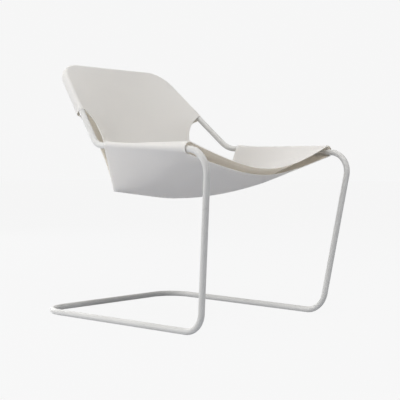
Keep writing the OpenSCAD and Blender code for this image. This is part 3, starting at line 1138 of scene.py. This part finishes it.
def grid_line(grid, row, offset):
    """A run of points on a grid's row, moved off the cloth by the offset."""
    across = np.gradient(grid, axis=1)
    along = np.gradient(grid, axis=0)
    normal = np.cross(along[row], across[row])
    normal /= np.linalg.norm(normal, axis=1, keepdims=True) + LEAST_LENGTH
    return grid[row] + normal * offset


def both_sides(grid, rows):
    return [grid_line(grid, row, side) for row in rows for side in (STITCH_LIFT, -STITCH_LIFT)]


seat_stitch_rows = [len(FRONT_HEM_ROWS) - 1, len(SEAT_ROWS) - len(REAR_HEM_ROWS)]
seat_lines = []
for half in (left_half, right_half):
    seat_lines += both_sides(half, seat_stitch_rows)
sew("seat_stitching", seat_lines)

back_stitch_columns = [len(HEM_COLUMNS), len(BACK_SHARES) - 1 - len(HEM_COLUMNS)]
back_lines = []
for grid in (inner_grid, outer_grid):
    upright_grid = grid[: NOTCH_ROWS + 1].transpose(1, 0, 2)
    back_lines += both_sides(upright_grid, back_stitch_columns)
sew("back_stitching", back_lines)

# %% [markdown]


# %% [markdown]
# The chair stands on a plain pale floor, like a sheet of studio paper. White paper under
# strong lamps would look the same, but it would throw so much light back that the chair would
# lose its shades. So the paper is grey where it lights the chair, and glows by itself for the
# rays that show it: those that come straight to the camera, or that a shiny or clear thing
# would send there. The little that is left of the plain paper keeps the soft shadow.

# %% Floor
PAPER = linear(204, 207, 214)
PAPER_GLOW = 0.97
FLOOR_LIGHT = linear(247.9, 247.8, 247.7)
FLOOR_HALF_W = 30.0
SHOWING_RAYS = ("Is Camera Ray", "Is Glossy Ray", "Is Transmission Ray")


def showing_rays(graph):
    """1 for the rays that show the backdrop: seen straight, reflected or let through."""
    rays = graph.node("ShaderNodeLightPath", {}, {}, output=SHOWING_RAYS)
    straight, reflected, let_through = rays
    return straight + reflected + let_through


def make_paper():
    finish = Finish("studio_paper")
    finish.give("Base Color", PAPER)
    finish.give("Roughness", 0.9)
    finish.give("Specular IOR Level", 0.0)
    finish.mix_in("ShaderNodeEmission", FLOOR_LIGHT, showing_rays(finish) * PAPER_GLOW)
    return finish.material


def make_floor():
    mesh = bpy.data.meshes.new("floor")
    signs = [(-1, -1), (1, -1), (1, 1), (-1, 1)]
    corners = [(x * FLOOR_HALF_W, y * FLOOR_HALF_W, 0) for x, y in signs]
    mesh.from_pydata(corners, [], [(0, 1, 2, 3)])
    mesh.materials.append(make_paper())
    floor = put_in_scene("floor", mesh)


make_floor()
print("floor", 2 * FLOOR_HALF_W, "m wide")

# %% [markdown]
# Behind the floor is the world, which is backdrop and sky in one. A wall could stand there,
# but it would need its own light. The same rays that show the paper see the world as even
# pale paper, and all the others get a weak even sky, which keeps the shadows soft.

# %% Backdrop and sky
BACKGROUND = linear(246, 246, 246)
SKY_COLOUR = (1.0, 1.0, 1.0, 1)
SKY_STRENGTH = 0.26


def make_world():
    world = bpy.data.worlds.new("studio")
    world.use_nodes = True
    world.node_tree.nodes.clear()
    studio = Graph(world.node_tree)
    sky = studio.node("ShaderNodeBackground", {}, {"Color": SKY_COLOUR, "Strength": SKY_STRENGTH})
    backdrop = studio.node("ShaderNodeBackground", {}, {"Color": BACKGROUND})
    inputs = {0: showing_rays(studio), 1: sky, 2: backdrop}
    both = studio.node("ShaderNodeMixShader", {}, inputs)
    studio.node("ShaderNodeOutputWorld", {}, {"Surface": both}, output=())
    bpy.context.scene.world = world


make_world()
print("world", bpy.context.scene.world.name)

# %% [markdown]
# Most of the light comes from the left, from behind and from above, so the sides that face
# front and right are darker. One sun could do it, but its shadows would be hard. Wide square
# lamps give the soft ones of a studio. Each has a place, a width in metres and its watts, and
# all of them look at the middle of the chair.

# %% Lamps
LAMP_AIM = Vector((0, 0, 0.5))
LAMPS = {
    "lamp_left": ((-3.6, 0.4, 1.6), 2.4, 28),
    "lamp_rear_left": ((-2.9, 2.3, 1.1), 2.2, 57),
    "lamp_rear": ((0.6, 3.8, 1.8), 2.4, 70),
    "lamp_top": ((-0.4, 0.4, 3.6), 3.0, 43),
    "lamp_front_top": ((-0.6, -1.9, 3.4), 2.2, 60),
}


def make_lamp(name, place, size, watts):
    data = bpy.data.lights.new(name, "AREA")
    data.shape = "SQUARE"
    data.size = size
    data.energy = watts
    lamp = put_in_scene(name, data)
    lamp.location = place
    lamp.rotation_mode = "QUATERNION"
    lamp.rotation_quaternion = (LAMP_AIM - Vector(place)).to_track_quat("-Z", "Y")


for name, (place, size, watts) in LAMPS.items():
    make_lamp(name, place, size, watts)
print("lamps", len(LAMPS), "watts in all", sum(watts for _, _, watts in LAMPS.values()))

# %% [markdown]
# Blender's usual view softens bright colours like a film would. This chair is nearly white,
# so the Standard view is chosen, which shows its colours as they are written.

# %% Finish
bpy.context.scene.view_settings.view_transform = "Standard"
